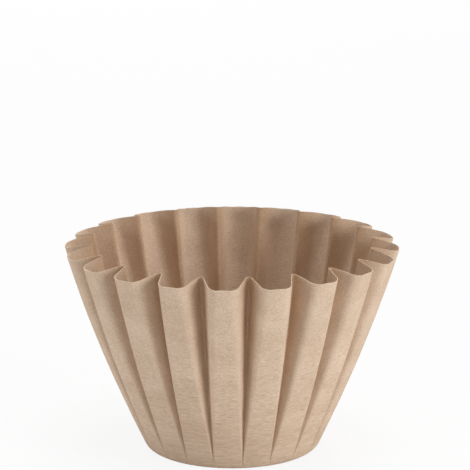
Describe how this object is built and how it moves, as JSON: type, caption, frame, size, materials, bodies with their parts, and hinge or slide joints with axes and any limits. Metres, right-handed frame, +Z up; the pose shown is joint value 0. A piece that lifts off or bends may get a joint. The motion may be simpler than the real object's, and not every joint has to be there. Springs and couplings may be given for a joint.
{
  "type": "paper coffee filter",
  "caption": "Unbleached paper coffee filter: flat-bottomed basket with 20 pressed flutes, 100 mm across the rim and 64 mm high, for small drip coffee makers.",
  "frame": {"origin": "centre of the underside of the floor", "axes": "+Z up along the basket's axis, out of its open mouth; a crest of the flutes points along +X"},
  "size_m": [0.1, 0.1, 0.0639],
  "materials": {
    "filter_paper": "matt, unbleached, finely creped"
  },
  "bodies": {
    "root": {"paper_filter": "filter_paper"}
  },
  "joints": []
}
